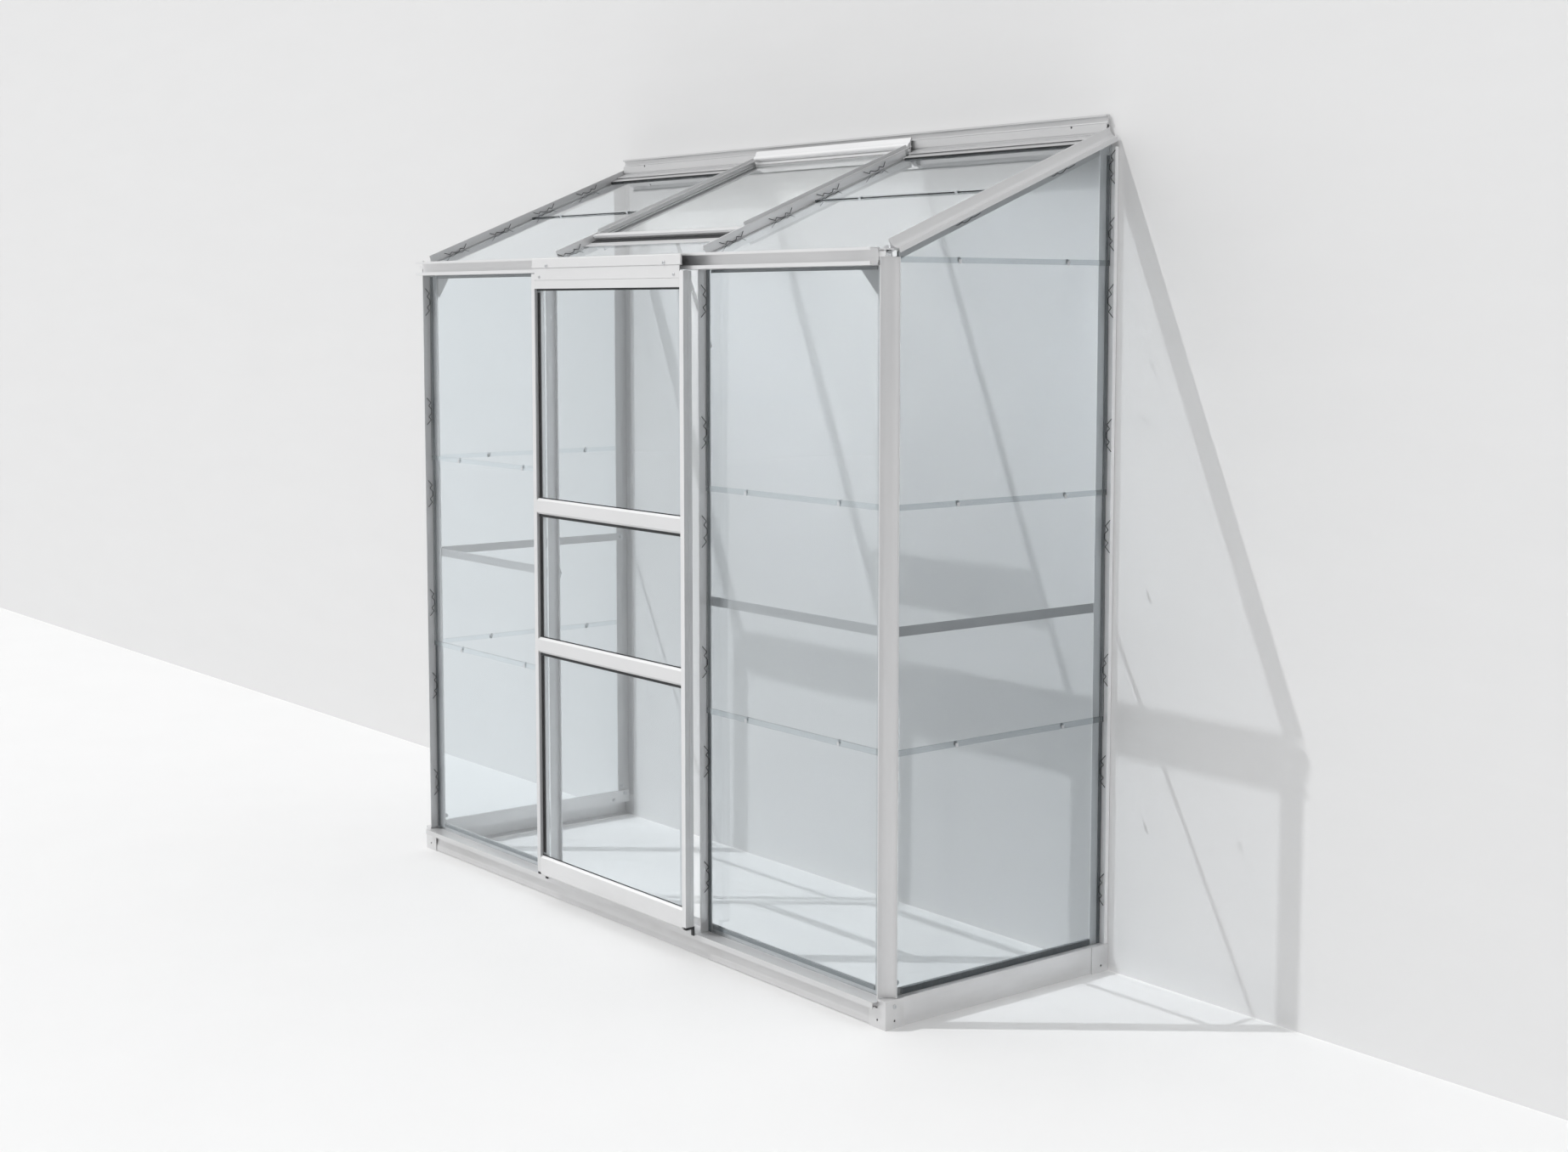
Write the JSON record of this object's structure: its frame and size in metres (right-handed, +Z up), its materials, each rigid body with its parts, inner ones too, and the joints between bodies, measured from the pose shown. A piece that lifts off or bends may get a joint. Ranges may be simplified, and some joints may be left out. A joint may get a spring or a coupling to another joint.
{
  "type": "lean to greenhouse",
  "caption": "Narrow aluminium lean-to greenhouse with lapped glass panes, a single sliding door and a hinged roof vent; open back for a house wall.",
  "frame": {"origin": "on the ground, under the middle of the box around the whole object", "axes": "+X to the right seen from the front, the front and its door face -Y, the open back stands at +Y against a wall, +Z up"},
  "size_m": [1.9244, 0.702, 1.8915],
  "materials": {
    "satin_aluminium": "satin mill aluminium with fine drawing lines",
    "door_aluminium": "bright satin aluminium",
    "clear_glass": "clear thin horticultural glass, faintly blue green",
    "dark_rubber": "dark grey glazing rubber",
    "clip_wire": "spring wire, dull",
    "zinc_steel": "zinc plated",
    "black_nylon": "black nylon"
  },
  "bodies": {
    "frame": {"base_bolts": "zinc_steel", "base_corners": "satin_aluminium", "base_rail_front": "satin_aluminium", "base_rail_left": "satin_aluminium", "base_rail_right": "satin_aluminium", "corner_post_left": "satin_aluminium", "corner_post_right": "satin_aluminium", "door_post_left": "satin_aluminium", "door_post_right": "satin_aluminium", "door_stops": "black_nylon", "eaves_beam": "satin_aluminium", "eaves_gussets": "satin_aluminium", "eaves_joints": "satin_aluminium", "frame_bolts": "zinc_steel", "front_braces": "satin_aluminium", "front_glass_left": "clear_glass", "front_glass_right": "clear_glass", "front_rubber": "dark_rubber", "gable_braces": "satin_aluminium", "gable_glass_left": "clear_glass", "gable_glass_right": "clear_glass", "gable_rafter_left": "satin_aluminium", "gable_rafter_right": "satin_aluminium", "gable_rubber": "dark_rubber", "lap_clips": "zinc_steel", "ridge_bar": "satin_aluminium", "roof_glass_left": "clear_glass", "roof_glass_lower": "clear_glass", "roof_glass_right": "clear_glass", "roof_rafter_left": "satin_aluminium", "roof_rafter_right": "satin_aluminium", "roof_rubber": "dark_rubber", "vent_kerb": "dark_rubber", "vent_sill": "satin_aluminium", "wall_post_left": "satin_aluminium", "wall_post_right": "satin_aluminium", "wire_clips": "clip_wire"},
    "door": {"door_axles": "zinc_steel", "door_glass_bottom": "clear_glass", "door_glass_middle": "clear_glass", "door_glass_top": "clear_glass", "door_guides": "black_nylon", "door_head": "door_aluminium", "door_rail_foot": "door_aluminium", "door_rail_lower": "door_aluminium", "door_rail_upper": "door_aluminium", "door_screws": "zinc_steel", "door_seals": "dark_rubber", "door_stile_left": "satin_aluminium", "door_stile_right": "satin_aluminium"},
    "roller_left": {"door_roller_left": "black_nylon"},
    "roller_right": {"door_roller_right": "black_nylon"},
    "vent": {"vent_top_rail": "satin_aluminium", "vent_foot_rail": "satin_aluminium", "vent_side_left": "satin_aluminium", "vent_side_right": "satin_aluminium", "vent_glass": "clear_glass", "vent_seal": "dark_rubber", "vent_stay_bracket": "zinc_steel"},
    "stay": {"vent_stay": "satin_aluminium"}
  },
  "joints": [
    {"name": "door_slide", "type": "slide", "parent": "frame", "child": "door", "axis": [1, 0, 0], "range_m": [-0.596, 0.596]},
    {"name": "roller_left_spin", "type": "hinge", "parent": "door", "child": "roller_left", "pos_m": [-0.2455, -0.32, 1.575], "axis": [0, 1, 0], "continuous": true},
    {"name": "roller_right_spin", "type": "hinge", "parent": "door", "child": "roller_right", "pos_m": [0.2455, -0.32, 1.575], "axis": [0, 1, 0], "continuous": true},
    {"name": "vent_hinge", "type": "hinge", "parent": "frame", "child": "vent", "pos_m": [0, 0.334, 1.876], "axis": [-1, 0, 0], "range_deg": [0, 30]},
    {"name": "stay_swing", "type": "hinge", "parent": "vent", "child": "stay", "pos_m": [0, -0.1424, 1.64144], "axis": [1, 0, 0], "range_deg": [0, 23]}
  ],
  "couplings": [
    {"joint": "stay_swing", "follows": "vent_hinge", "ratio": 0.75}
  ]
}
